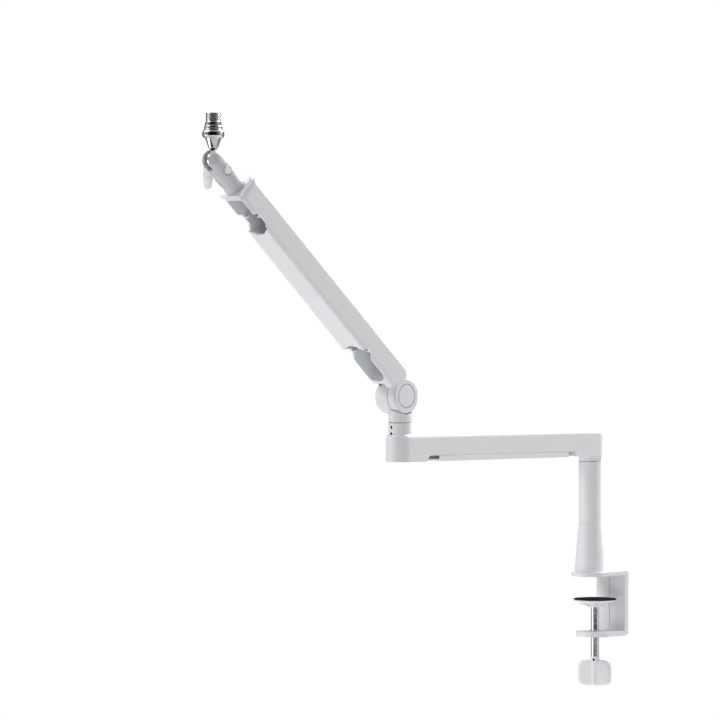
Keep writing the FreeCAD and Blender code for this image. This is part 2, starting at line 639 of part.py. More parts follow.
def upper_beam():
    piece = Piece("upper_beam")
    outline = piece.sketch("XZ_Plane")
    beam_end = "(upper_length - end_cap_thickness - 0.2)"
    side_profile(outline, "nose_x", beam_end, "-upper_drop", "upper_height")
    bind(outline, "AttachmentOffset.Base.z", "-upper_middle_y")
    piece.pad(outline, "2 * upper_root_half", middle=True)
    side = "upper_middle_y"
    for sign in (1, -1):
        slice_side(piece, sign, beam_end)
    doc.recompute()
    top = value("upper_height - upper_drop")
    slack = value("upper_root_half - upper_tip_half") + 0.5
    centre = value("upper_middle_y")
    outer = value("upper_root_half")

    def along_top(edge):
        box = edge.BoundBox
        on_side = abs(abs(edge.CenterOfMass.y - centre) - outer) < slack
        return on_side and box.ZMax > top - 0.05 and (box.XLength > 20 or box.ZLength > 20)

    piece.round_over("upper_edge", along_top)
    gap = "friction_thickness / 2"
    piece.cylinder(("0", f"seam_y - {gap}", "0"), "barrel_radius + barrel_gap", "3 * barrel_far",
                   axis="y", cut=True)
    piece.cylinder(("-root_relief_shift", f"seam_y - {gap}", "-upper_drop"),
                   "barrel_radius + root_relief_gap", "3 * barrel_far", axis="y", cut=True)
    piece.cylinder(("0", "-barrel_near", "0"), "barrel_radius", f"barrel_near + seam_y - {gap}", axis="y")
    near_y = -value("barrel_near")
    piece.round_over("barrel_edge",
                     lambda e: circle_of(e, value("barrel_radius")) and in_plane(e, "y", near_y))
    ring = "hinge_cap_radius + hinge_ring_gap"
    piece.cylinder(("0", "-barrel_near - 1", "0"), ring, "hinge_cap_depth + 1", axis="y", cut=True)
    piece.cylinder(("0", "-barrel_near - 1", "0"), "spring_outer + 0.3", "barrel_near - 1.5",
                   axis="y", cut=True)
    piece.cylinder(("0", "-barrel_near - 1", "0"), "hinge_bolt_radius + running_play", "3 * barrel_near",
                   axis="y", cut=True)
    near_end, far_end = "upper_channel_near", "upper_channel_far"
    piece.wedge((f"-{near_end}", side, "0"), upper_half(near_end, "wall"), upper_half(far_end, "wall"),
                "-upper_drop - 1", "upper_height - upper_drop - upper_ceiling",
                f"{far_end} - {near_end}", cut=True)
    for end, radius in ((near_end, "channel_round"), (far_end, "channel_corner")):
        place = -value(end)
        piece.round_over(radius, lambda e: in_plane(e, "x", place) and e.BoundBox.ZLength > 20)
    for end in ("clip_near", "clip_far"):
        clip_ribs(piece, end)
    for far, near_x, tall in (("upper_recess_far", "upper_recess_near", "upper_lip"),
                              ("upper_recess_far", "upper_cover_far - 2", "upper_notch"),
                              ("upper_cover_near + 2", "upper_recess_near", "upper_notch")):
        piece.trough(f"-({far})", f"-({near_x})", "-upper_drop - 0.01", tall, tall, "2 * upper_root_half",
                     middle=side)
    return piece


def clip_ribs(piece, end):
    """A pair of thin ribs across the channel's sides, that the cover's end clips against."""
    inner = upper_half(end, "wall")
    for start in (f"upper_middle_y - {inner} - 0.5", f"upper_middle_y + {inner} - clip_reach"):
        piece.box((f"-{end} - clip_width / 2", start, "0.4 - upper_drop"),
                  ("clip_width", "clip_reach + 0.5", "upper_height - upper_ceiling"))


def slice_side(piece, sign, beam_end):
    """Take the taper off one side of the full-width bar."""
    outer = f"{sign} * upper_root_half + upper_middle_y"
    turn = Rotation(Vector(0, 0, 1), 90)
    thin = f"{UPPER_TAPER} * ({beam_end} + 30)"
    low, high = ("0", "2") if sign > 0 else ("-2", "0")
    shift_low, shift_high = ("-" + thin, "2") if sign > 0 else ("-2", thin)
    piece.feature("SubtractiveWedge", ("30", outer, "0"), turn, Xmin=low, Xmax=high,
                  X2min=shift_low, X2max=shift_high, Ymin=0, Ymax=f"{beam_end} + 60",
                  Zmin="-50", Zmax="50", Z2min="-50", Z2max="50")


def friction_disc():
    piece = Piece("friction_disc")
    start = "seam_y - friction_thickness / 2"
    piece.cylinder(("0", start, "0"), "barrel_radius - 1.2", "friction_thickness", axis="y")
    piece.cylinder(("0", "-20", "0"), "hinge_bolt_radius + 0.5", "40", axis="y", cut=True)
    return set_on_arm(piece)


def hinge_bolt():
    """Shoulder bolt of the elbow, threaded into the far barrel, with a socket head."""
    piece = Piece("hinge_bolt")
    seat = "-barrel_near + hinge_cap_depth + 1.5"
    piece.cylinder(("0", seat, "0"), "hinge_bolt_radius", f"barrel_far - 2.5 - ({seat})", axis="y")
    piece.cylinder(("0", f"{seat} - 1.4", "0"), "0.75 * spring_outer", "1.8", axis="y")
    piece.cylinder(("0", f"{seat} - 3", "0"), "0.5 * hinge_bolt_radius", "3.4", axis="y", cut=True)
    return set_on_arm(piece)


def disc_springs():
    """Two stacked cup washers under the hinge bolt's head."""
    piece = Piece("disc_springs", several=True)
    seat = "-barrel_near + hinge_cap_depth + 1.9"
    for step in (0, 1):
        piece.cylinder(("0", f"{seat} + {0.75 * step}", "0"), "spring_outer", "0.7", axis="y")
    piece.cylinder(("0", "-30", "0"), "hinge_bolt_radius + 0.2", "60", axis="y", cut=True)
    return set_on_arm(piece)


def elbow_cap():
    piece = Piece("elbow_cap")
    piece.cylinder(("0", "-barrel_near - 0.3", "0"), "hinge_cap_radius", "hinge_cap_depth - 0.7", axis="y")
    face = -value("barrel_near + 0.3")
    piece.round_over("0.8", lambda e: in_plane(e, "y", face))
    piece.cylinder(("0", "-barrel_near + 2", "0"), "hinge_cap_radius + hinge_ring_gap", "1", axis="y")
    return set_on_arm(piece)


def upper_end_cap():
    piece = Piece("upper_end_cap")
    half = upper_half("upper_length")
    piece.box(("-upper_length", f"upper_middle_y - {half}", "-upper_drop"),
              ("end_cap_thickness", f"2 * {half}", "upper_height"))
    top = value("upper_height - upper_drop")
    piece.round_over("upper_edge", lambda e: in_plane(e, "z", top) and e.BoundBox.XLength > 1)
    return set_on_arm(piece)


def upper_cover():
    piece = Piece("upper_cover")
    near_end, far_end = "upper_cover_near", "upper_cover_far"
    span = f"({far_end} - {near_end})"
    at = (f"-{near_end}", "upper_middle_y", "0")
    low = "(0 - upper_drop)"
    piece.wedge(at, upper_half(near_end), upper_half(far_end), low, f"{low} + upper_lip - cover_play", span)
    piece.wedge(at, upper_half(near_end, "wall"), upper_half(far_end, "wall"), f"{low} + cover_floor",
                f"{low} + upper_lip + 1", span, cut=True)
    cover_ribs(piece, near_end, far_end, upper_half, "upper_middle_y", low, "upper_lip")
    cover_ends(piece, near_end, far_end, "upper_middle_y", low, "upper_lip")
    return set_on_arm(piece)


# ---------------------------------------------------------------- ball head

HEAD = ("upper_middle_y", "head_axis_rise")


def head_collar():
    """The turned collar on the end cap, with the tongue that both shells clamp on."""
    piece = Piece("head_collar")
    piece.cylinder(("-upper_length", *HEAD), "head_radius - 0.6", "collar_length - head_seam", axis="-x")
    piece.box(("-(upper_length + ball_distance - head_bolt_back + 6)", "upper_middle_y - tongue_width / 2",
               "head_axis_rise - 5.5"),
              ("ball_distance - head_bolt_back + 6 - collar_length + 1", "tongue_width", "11"))
    piece.cylinder(("-(ball_x - head_bolt_back)", "upper_middle_y - 20", "head_axis_rise"),
                   "head_bolt_radius + 0.2", "40", axis="y", cut=True)
    return set_on_arm(piece)


def head_shell(label, sign):
    """One half of the ball clamp: a dome-ended half cylinder with a ball seat and a slot for the stem."""
    piece = Piece(label)
    length = "ball_distance - collar_length"
    piece.cylinder(("-head_start", *HEAD), "head_radius", length, axis="-x")
    piece.sphere(("-ball_x", *HEAD), "head_radius")
    other = "upper_middle_y - 2 * head_radius" if sign > 0 else "upper_middle_y"
    split = f"{other} + head_seam / 2" if sign > 0 else f"{other} - head_seam / 2"
    block = "2 * head_radius"
    piece.box(("-(ball_x + head_radius + 1)", split, "head_axis_rise - head_radius - 1"),
              (f"{length} + 2 * head_radius", block, "2 * head_radius + 2"), cut=True)
    piece.sphere(("-ball_x", *HEAD), "ball_radius + ball_play", cut=True)
    piece.box(("-(ball_x + head_radius + 1)", "upper_middle_y - slot_width / 2",
               "head_axis_rise - head_radius - 1"),
              ("head_radius + 1 + slot_back", "slot_width", "2 * head_radius + 2"), cut=True)
    piece.box(("-(ball_x - head_bolt_back + 6.4)", "upper_middle_y - tongue_width / 2 - 0.1",
               "head_axis_rise - 5.8"), (length, "tongue_width + 0.2", "11.6"), cut=True)
    piece.cylinder(("-(ball_x - head_bolt_back)", "upper_middle_y - 20", "head_axis_rise"),
                   "head_bolt_radius + 0.2", "40", axis="y", cut=True)
    if sign < 0:
        seat = "upper_middle_y - head_radius"
        piece.cylinder(("-(ball_x - head_bolt_back)", f"{seat} - 1", "head_axis_rise"),
                       "head_bolt_cap_radius + head_bolt_ring", "3.5", axis="y", cut=True)
    else:
        piece.cylinder(("-(ball_x - head_bolt_back)", "upper_middle_y + head_radius - 1.6", "head_axis_rise"),
                       "wing_hub_radius + 0.6", "5", axis="y", cut=True)
    return set_on_arm(piece)


def head_bolt():
    piece = Piece("head_bolt")
    seat = "upper_middle_y - head_radius + 2.4"
    x = "-(ball_x - head_bolt_back)"
    piece.cylinder((x, seat, "head_axis_rise"), "head_bolt_radius", "2 * head_radius + 6", axis="y")
    piece.cylinder((x, "upper_middle_y - head_radius - 0.4", "head_axis_rise"), "head_bolt_cap_radius", "2.9",
                   axis="y")
    face = value("upper_middle_y - head_radius - 0.4")
    piece.round_over("0.7", lambda e: in_plane(e, "y", face))
    return set_on_arm(piece)


def head_wing_knob():
    """Wing nut on the far side: its blades hold the bolt's axis in their plane."""
    piece = Piece("head_wing_knob")
    start = "upper_middle_y + head_radius - 1.3"
    x = "-(ball_x - head_bolt_back)"
    piece.cylinder(("0", start, "0"), "wing_hub_radius", "wing_hub_length", axis="y")
    piece.box(("-wing_thickness / 2", f"{start} + 2.6", "-wing_reach"),
              ("wing_thickness", "wing_hub_length + 2", "2 * wing_reach"))
    reach = value("wing_reach")
    piece.round_over("0.42 * wing_hub_length", lambda e: near(abs(e.CenterOfMass.z), reach)
                     and e.BoundBox.XLength > 1 and e.BoundBox.YLength < 0.1)
    wide = value("wing_thickness") / 2
    hub = value("wing_hub_radius")
    piece.round_over("0.3 * wing_thickness", lambda e: near(abs(e.CenterOfMass.x), wide)
                     and in_plane(e, "x", e.CenterOfMass.x) and abs(e.CenterOfMass.z) > hub)
    piece.cylinder(("0", f"{start} - 1", "0"), "head_bolt_radius + thread_play", "11.2", axis="y", cut=True)
    place_in_head(piece, x)
    return piece


def place_in_head(piece, x):
    """Set a piece that hangs straight down at rest on the tilted arm's head axis."""
    along = x.lstrip("-")
    piece.body.Placement = Placement()
    turned_x = f"-lower_length - {along} * cos(pitch) + head_axis_rise * sin(pitch)"
    turned_z = f"pivot_z + {along} * sin(pitch) + head_axis_rise * cos(pitch)"
    bind(piece.body, "Placement.Base.x", turned_x.replace("(pitch)", "(1 deg * pitch)"))
    bind(piece.body, "Placement.Base.z", turned_z.replace("(pitch)", "(1 deg * pitch)"))


def ball_stud():
    piece = Piece("ball_stud")
    piece.sphere(("0", "upper_middle_y", "0"), "ball_radius")
    piece.cylinder(("0", "upper_middle_y", "0"), "stem_neck_radius", "stem_start + 6")
    place_in_head(piece, "-ball_x")
    return piece


def thread_adapter():
    """Chrome adapter that carries the microphone thread and spins on the ball stud."""
    piece = Piece("thread_adapter")
    middle = "upper_middle_y"
    piece.cone(("0", middle, "stem_start"), "cone_small", "cone_large", "cone_end - stem_start")
    piece.cylinder(("0", middle, "cone_end - 0.5"), "flange_radius", "flange_top - cone_end + 0.5")
    rim = value("flange_radius")
    piece.round_over("1.2", lambda e: circle_of(e, rim))
    piece.cone(("0", middle, "flange_top"), "flange_radius - 1.3", "stud_radius", "stud_start - flange_top")
    piece.cylinder(("0", middle, "stud_start"), "stud_radius", "stud_end - stud_start")
    end = value("stud_end")
    piece.round_over("0.8", lambda e: in_plane(e, "z", end), "Chamfer")
    piece.cylinder(("0", middle, "stem_start - 1"), "stem_neck_radius + running_play", "7.5", cut=True)
    place_in_head(piece, "-ball_x")
    return piece


# ------------------------------------------------------------------ assembly

foot = "plate_thickness + cone_height"
pieces = [
    clamp_bracket(), clamp_nut(), base_screw(), riser_base_cone(), riser_joiner(), riser_tube(),
    riser_bush("riser_bush_upper", f"{foot} + tube_height"),
    riser_bush("riser_bush_lower", f"{foot} + 0.3 * tube_height + bush_length + 2"),
    riser_stop_screw(), swivel_washer(),
    pad_rubber(), pad_dish(), pad_retainer(), clamp_screw(), wing_knob(), knob_pin(),
    lower_beam(), elbow_set_screws(), swivel_pin(), elbow_bush(), lower_cover(),
    elbow_post(), barrel_grub_screw(), elbow_washer(),
    set_on_arm(upper_beam()), friction_disc(), hinge_bolt(), disc_springs(), elbow_cap(),
    upper_end_cap(), upper_cover(), head_collar(),
    head_shell("head_shell_near", -1), head_shell("head_shell_far", 1), head_bolt(), head_wing_knob(),
    ball_stud(), thread_adapter(),
]
doc.recompute()

faults = [thing.Label for thing in doc.Objects if {"Invalid", "Error"} & set(thing.State)]
if faults:
    raise RuntimeError(f"features that failed: {faults}")
os.makedirs("parts", exist_ok=True)
for piece in pieces:
    shape = piece.body.Shape
    if shape.isNull() or not shape.isValid():
        raise RuntimeError(f"{piece.body.Label}: no valid shape")
    shape.exportStep(f"parts/{piece.body.Label}.step")
    print(f"{piece.body.Label}: {len(shape.Solids)} solids, {shape.Volume:.0f} mm3")
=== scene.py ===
"""Looks of a low-profile microphone boom arm: white powder coat, chrome adapter, plated screw, rubber pad."""

import json
import math

import bmesh
import bpy
from mathutils import Matrix, Vector

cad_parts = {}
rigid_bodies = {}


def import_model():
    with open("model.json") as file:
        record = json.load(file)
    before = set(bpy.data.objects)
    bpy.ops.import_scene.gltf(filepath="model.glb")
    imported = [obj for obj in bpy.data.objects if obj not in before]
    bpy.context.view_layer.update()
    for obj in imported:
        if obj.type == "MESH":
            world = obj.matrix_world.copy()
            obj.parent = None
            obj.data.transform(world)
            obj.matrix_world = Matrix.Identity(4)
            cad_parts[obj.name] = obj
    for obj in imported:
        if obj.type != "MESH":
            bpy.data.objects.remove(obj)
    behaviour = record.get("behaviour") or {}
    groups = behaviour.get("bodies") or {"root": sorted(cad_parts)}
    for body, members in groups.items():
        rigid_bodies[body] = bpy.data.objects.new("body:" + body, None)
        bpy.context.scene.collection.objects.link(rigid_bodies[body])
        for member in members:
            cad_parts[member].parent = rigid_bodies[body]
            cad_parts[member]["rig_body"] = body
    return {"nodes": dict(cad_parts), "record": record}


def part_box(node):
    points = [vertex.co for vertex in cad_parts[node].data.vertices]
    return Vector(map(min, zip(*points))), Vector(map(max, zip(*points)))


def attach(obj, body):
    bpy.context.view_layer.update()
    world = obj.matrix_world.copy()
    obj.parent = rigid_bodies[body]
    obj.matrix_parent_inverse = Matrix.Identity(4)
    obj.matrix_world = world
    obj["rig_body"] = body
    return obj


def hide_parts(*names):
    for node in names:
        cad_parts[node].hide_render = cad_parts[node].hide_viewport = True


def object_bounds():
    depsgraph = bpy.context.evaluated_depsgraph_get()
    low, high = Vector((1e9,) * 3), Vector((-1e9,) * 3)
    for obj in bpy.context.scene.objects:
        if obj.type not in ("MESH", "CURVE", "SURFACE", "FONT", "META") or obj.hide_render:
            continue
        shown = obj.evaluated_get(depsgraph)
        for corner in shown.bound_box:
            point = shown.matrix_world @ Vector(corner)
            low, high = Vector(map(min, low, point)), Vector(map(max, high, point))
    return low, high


MM = 0.001
TINY = 1e-7

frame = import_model()
cad_box = [list(corner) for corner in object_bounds()]


# ------------------------------------------------------------------ shader trees


class Wire:
    """A shader socket that Python's operators work on: each operator adds a Math node."""

    def __init__(self, tree, socket):
        self.tree = tree
        self.socket = socket

    def math(self, operation, a, b):
        return self.tree.node("ShaderNodeMath", {"operation": operation}, {0: a, 1: b})

    def __add__(self, other):
        return self.math("ADD", self, other)

    def __sub__(self, other):
        return self.math("SUBTRACT", self, other)

    def __rsub__(self, other):
        return self.math("SUBTRACT", other, self)

    def __mul__(self, other):
        return self.math("MULTIPLY", self, other)

    __radd__ = __add__
    __rmul__ = __mul__

    def clamped(self):
        return self.tree.node("ShaderNodeClamp", {}, {"Value": self})


class ShaderTree:
    """A node tree whose nodes all come from one method."""

    def __init__(self, node_tree):
        self.tree = node_tree
        self.tree.nodes.clear()

    def node(self, kind, settings, inputs, out=0):
        """One node: its settings, then its inputs by name or number. Gives the wanted output, if any."""
        made = self.tree.nodes.new(kind)
        for name, value in settings.items():
            setattr(made, name, value)
        for name, value in inputs.items():
            if isinstance(value, Wire):
                self.tree.links.new(value.socket, made.inputs[name])
            else:
                made.inputs[name].default_value = value
        return Wire(self, made.outputs[out]) if made.outputs else made

    def mix(self, factor, a, b):
        """A colour between a and b. A Mix node's colour sockets are its inputs 6 and 7 and its output 2."""
        colours = {0: factor, 6: (*a, 1.0), 7: (*b, 1.0)}
        return self.node("ShaderNodeMix", {"data_type": "RGBA"}, colours, 2)

    def place(self):
        return self.node("ShaderNodeTexCoord", {}, {}, "Object")

    def noise(self, scale, detail=2.0, rough=0.5):
        inputs = {"Vector": self.place(), "Scale": scale, "Detail": detail, "Roughness": rough}
        return self.node("ShaderNodeTexNoise", {"noise_dimensions": "3D"}, inputs)

    def bump(self, height, depth, strength, normal=None):
        inputs = {"Height": height, "Distance": depth, "Strength": strength}
        if normal:
            inputs["Normal"] = normal
        return self.node("ShaderNodeBump", {}, inputs, "Normal")

    def soft_edges(self, radius):
        return self.node("ShaderNodeBevel", {"samples": 4}, {"Radius": radius}, "Normal")


def scaled(colour, share):
    return tuple(share * part for part in colour)


def finish_of(name, principled, paint):
    """A material: fixed values go on the shader's own sockets, and paint(tree) gives the ones that vary."""
    material = bpy.data.materials.new(name)
    material.use_nodes = True
    tree = ShaderTree(material.node_tree)
    shader = tree.node("ShaderNodeBsdfPrincipled", {}, {**principled, **paint(tree)}, "BSDF")
    tree.node("ShaderNodeOutputMaterial", {}, {"Surface": shader})
    return material


def powder_coat(tree, colour=(0.785, 0.80, 0.82), rough=0.40, grain=1500.0, depth=0.00003, edge=0.0007):
    """Cured powder: a fine orange peel over a slow drift in colour and gloss."""
    drift = tree.noise(22.0, detail=3.0)
    peel = tree.noise(grain, rough=0.55)
    return {
        "Base Color": tree.mix(drift, scaled(colour, 0.955), colour),
        "Roughness": drift * 0.10 + peel * 0.06 + (rough - 0.08),
        "Normal": tree.bump(peel, depth, 0.6, tree.soft_edges(edge)),
    }


def moulded_plastic(tree, colour=(0.81, 0.82, 0.84), rough=0.46):
    """A moulding with a fine, matt grain."""
    drift = tree.noise(35.0)
    grain = tree.noise(3200.0, detail=3.0, rough=0.6)
    return {
        "Base Color": tree.mix(drift, scaled(colour, 0.96), colour),
        "Roughness": grain * 0.10 + (rough - 0.05),
        "Normal": tree.bump(grain, 0.00002, 0.5, tree.soft_edges(0.0006)),
    }


def bright_plating(tree, colour=(0.74, 0.75, 0.78), rough=0.05):
    """Bright plating with faint smears from handling."""
    smear = tree.noise(60.0, detail=4.0, rough=0.6)
    fine = tree.noise(900.0)
    return {
        "Base Color": tree.mix(smear, scaled(colour, 0.93), colour),
        "Roughness": smear * 0.05 + fine * 0.02 + rough,
        "Normal": tree.bump(fine, 0.000004, 0.4, tree.soft_edges(0.0003)),
    }


def turned_steel(tree, colour=(0.50, 0.50, 0.52), rough=0.30):
    """Plain steel with fine lathe marks, level rings one above the other."""
    marks = tree.node("ShaderNodeTexWave", {"wave_type": "BANDS", "bands_direction": "Z"},
                      {"Vector": tree.place(), "Scale": 900.0, "Distortion": 1.5, "Detail": 2.0}, "Fac")
    drift = tree.noise(80.0, detail=3.0)
    return {
        "Base Color": tree.mix(drift, scaled(colour, 0.85), colour),
        "Roughness": marks * 0.10 + drift * 0.10 + (rough - 0.06),
        "Normal": tree.bump(marks, 0.000006, 0.5),
    }


def satin_casting(tree):
    """Die-cast shell under a thin satin coat, greyer than the tubes."""
    return powder_coat(tree, (0.60, 0.605, 0.63), rough=0.36, grain=1100.0, depth=0.00002, edge=0.0005)


def black_oxide(tree, colour=(0.018, 0.018, 0.020), rough=0.38):
    """Oil-blackened steel, a little browner where it thins."""
    thin = tree.noise(140.0, detail=4.0, rough=0.65)
    return {
        "Base Color": tree.mix(thin, colour, (0.05, 0.047, 0.044)),
        "Roughness": thin * 0.20 + (rough - 0.08),
        "Normal": tree.bump(thin, 0.00001, 0.4, tree.soft_edges(0.0003)),
    }


def pad_rubber(tree, colour=(0.006, 0.006, 0.0065)):
    """Dull rubber with a fine pebble and a patchy film of grey dust."""
    inputs = {"Vector": tree.place(), "Scale": 900.0}
    pebble = tree.node("ShaderNodeTexVoronoi", {"feature": "F1"}, inputs, "Distance")
    dust = tree.noise(110.0, detail=4.0, rough=0.6)
    return {
        "Base Color": tree.mix(dust * 0.5, colour, (0.020, 0.020, 0.021)),
        "Roughness": dust * 0.14 + 0.74,
        "Normal": tree.bump(pebble, 0.00008, 0.6),
    }


def dark_washer(tree, colour=(0.05, 0.05, 0.055)):
    """Matt dark plastic of the thrust washers and the friction disc."""
    grain = tree.noise(1800.0)
    return {
        "Base Color": tree.mix(grain, colour, scaled(colour, 1.5)),
        "Roughness": grain * 0.15 + 0.45,
        "Normal": tree.bump(grain, 0.00001, 0.5),
    }


def natural_plastic(tree):
    """Uncoloured bearing plastic of the bushes."""
    return moulded_plastic(tree, (0.70, 0.68, 0.62), rough=0.5)


def chrome(tree):
    """Mirror plating: darker and sharper than the screw's."""
    return bright_plating(tree, (0.60, 0.60, 0.62), rough=0.02)


FINISHES = {
    "white_aluminium": finish_of("white_powder_coat", {"Specular IOR Level": 0.5}, powder_coat),
    "white_metal": finish_of("white_powder_coat_steel", {"Specular IOR Level": 0.5}, powder_coat),
    "white_plastic": finish_of("white_moulding", {"Specular IOR Level": 0.45}, moulded_plastic),
    "white_bolt": finish_of("white_bolt_cap", {"Specular IOR Level": 0.5}, moulded_plastic),
    "bright_steel": finish_of("plated_screw", {"Metallic": 1.0}, bright_plating),
    "steel": finish_of("turned_steel", {"Metallic": 1.0}, turned_steel),
    "black_steel": finish_of("black_oxide", {"Metallic": 0.6}, black_oxide),
    "chrome": finish_of("chrome_plate", {"Metallic": 1.0}, chrome),
    "pad_rubber": finish_of("pad_rubber", {"Specular IOR Level": 0.08}, pad_rubber),
    "dark_plastic": finish_of("dark_washer", {}, dark_washer),
    "bush_plastic": finish_of("natural_bush", {}, natural_plastic),
}
CASTING = finish_of("satin_head_casting", {"Specular IOR Level": 0.5}, satin_casting)
HEAD_CASTINGS = ("head_collar", "head_shell_near", "head_shell_far")
SLOT_OF = {part["node"]: part["material_slot"] for part in frame["record"]["subparts"]}
for node, thing in frame["nodes"].items():
    thing.data.materials.clear()
    thing.data.materials.append(CASTING if node in HEAD_CASTINGS else FINISHES[SLOT_OF[node]])


# ------------------------------------------------------------------ mesh helpers


def piece_from(mesh_data, name, node, smooth_below=32.0):
    """Finish a bmesh as a piece that stands for a CAD node. Edges that bend less than smooth_below degrees
    shade smooth."""
    bmesh.ops.remove_doubles(mesh_data, verts=mesh_data.verts, dist=TINY)
    bmesh.ops.recalc_face_normals(mesh_data, faces=mesh_data.faces)
    limit = math.radians(smooth_below)
    for edge in mesh_data.edges:
        edge.smooth = len(edge.link_faces) == 2 and edge.calc_face_angle(0.0) < limit
    for face in mesh_data.faces:
        face.smooth = True
    data = bpy.data.meshes.new(name)
    mesh_data.to_mesh(data)
    mesh_data.free()
    return adopt(bpy.data.objects.new(name, data), node)


def adopt(piece, node):
    """Put the piece on the node's body, in its place and with its finish."""
    bpy.context.scene.collection.objects.link(piece)
    slot = SLOT_OF[node]
    piece.data.materials.clear()
    piece.data.materials.append(FINISHES[slot])
    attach(piece, frame["nodes"][node]["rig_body"])
    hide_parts(node)
    return piece


def rounded(profile, radius, steps=4):
    """The profile with each inner corner turned into an arc, where there is room for one."""
    out = [profile[0]]
    for before, corner, after in zip(profile, profile[1:], profile[2:]):
        a, b, c = Vector(before), Vector(corner), Vector(after)
        reach = min(radius, 0.45 * (a - b).length, 0.45 * (c - b).length)
        start, end = b + (a - b).normalized() * reach, b + (c - b).normalized() * reach
        for step in range(steps + 1):
            t = step / steps
            out.append(tuple(start * (1 - t) ** 2 + b * (2 * t * (1 - t)) + end * t ** 2))
    out.append(profile[-1])
    return out


def turn_profile(mesh_data, profile, place, axis="z", segments=72):
    """Turn a profile of (radius, height) pairs, both in metres, about an axis through place."""
    turn = Matrix() if axis == "z" else Matrix.Rotation(math.radians(-90), 4, "X")
    rings = []
    for radius, height in profile:
        ring = []
        for i in range(1 if radius < TINY else segments):
            angle = 2 * math.pi * i / segments
            spot = Vector((radius * math.cos(angle), radius * math.sin(angle), height))
            ring.append(mesh_data.verts.new(place + turn @ spot))
        rings.append(ring)
    for low, high in zip(rings, rings[1:]):
        for i in range(segments):
            j = (i + 1) % segments
            corners = [low[i % len(low)], low[j % len(low)], high[j % len(high)], high[i % len(high)]]
            unique = list(dict.fromkeys(corners))
            if len(unique) > 2:
                mesh_data.faces.new(unique)


def threaded(mesh_data, place, radius, depth, pitch, low, high, segments=40, rows=8, crest=1.35):
    """A rod with a helical thread that runs out at both ends. A larger crest gives wider lands."""
    count = max(2, int(rows * (high - low) / pitch))
    rings = []
    for row in range(count + 1):
        height = low + (high - low) * row / count
        fade = min(1.0, (height - low) / pitch, (high - height) / pitch)
        ring = []
        for i in range(segments):
            phase = (height / pitch - i / segments) % 1.0
            land = min(1.0, crest * (1.0 - abs(2.0 * phase - 1.0)))
            r = radius - depth * fade * (1.0 - land)
            angle = 2 * math.pi * i / segments
            spot = Vector((r * math.cos(angle), r * math.sin(angle), height))
            ring.append(mesh_data.verts.new(place + spot))
        rings.append(ring)
    for below, above in zip(rings, rings[1:]):
        for i in range(segments):
            j = (i + 1) % segments
            mesh_data.faces.new((below[i], below[j], above[j], above[i]))
    mesh_data.faces.new(reversed(rings[0]))
    mesh_data.faces.new(rings[-1])


def pillow(mesh_data, outline, half_thickness, place, across, rings=10, segments=72):
    """A soft-edged plate: outline(angle) gives its rim, and half_thickness(share, angle) its swell.
    across maps (along, up, out) to the frame's axes."""
    for side in (1, -1):
        previous = None
        for ring in range(rings + 1):
            share = math.sin(0.5 * math.pi * ring / rings)
            row = []
            for i in range(segments if ring else 1):
                angle = 2 * math.pi * i / segments
                along, up = outline(angle)
                out = side * half_thickness(share, angle)
                row.append(mesh_data.verts.new(place + across @ Vector((along * share, up * share, out))))
            if previous:
                for i in range(segments):
                    j = (i + 1) % segments
                    corners = [previous[i % len(previous)], previous[j % len(previous)], row[j], row[i]]
                    unique = list(dict.fromkeys(corners))
                    mesh_data.faces.new(unique if side > 0 else list(reversed(unique)))
            previous = row


def superellipse(half_along, half_up, power):
    """The rim of a rounded oblong. A higher power gives squarer corners."""
    def outline(angle):
        c, s = math.cos(angle), math.sin(angle)
        return (half_along * math.copysign(abs(c) ** (2 / power), c),
                half_up * math.copysign(abs(s) ** (2 / power), s))
    return outline


def middle_of(node):
    low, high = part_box(node)
    return (low + high) / 2


# ------------------------------------------------------------------ turned and threaded pieces


def build_clamp_screw():
    """Plated screw: a long thread, a neck and a ball end inside the pad."""
    low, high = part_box("clamp_screw")
    middle = middle_of("clamp_screw")
    radius = (high.x - low.x) / 2
    foot = Vector((middle.x, middle.y, 0.0))
    pitch, depth = 1.5 * MM, 0.25 * MM
    shoulder = high.z - 7.5 * MM
    throat, ball = 0.6 * radius, 0.8 * radius
    made = bmesh.new()
    threaded(made, foot, radius, depth, pitch, low.z, shoulder, rows=12, crest=4.0)
    neck = [(0.0, shoulder - MM), (throat, shoulder - MM), (throat, high.z - 5.0 * MM),
            (ball, high.z - 4.0 * MM), (ball, high.z - 1.2 * MM), (0.4 * radius, high.z), (0.0, high.z)]
    turn_profile(made, rounded(neck, 0.6 * MM), foot, segments=40)
    piece_from(made, "clamp_screw_threaded", "clamp_screw")


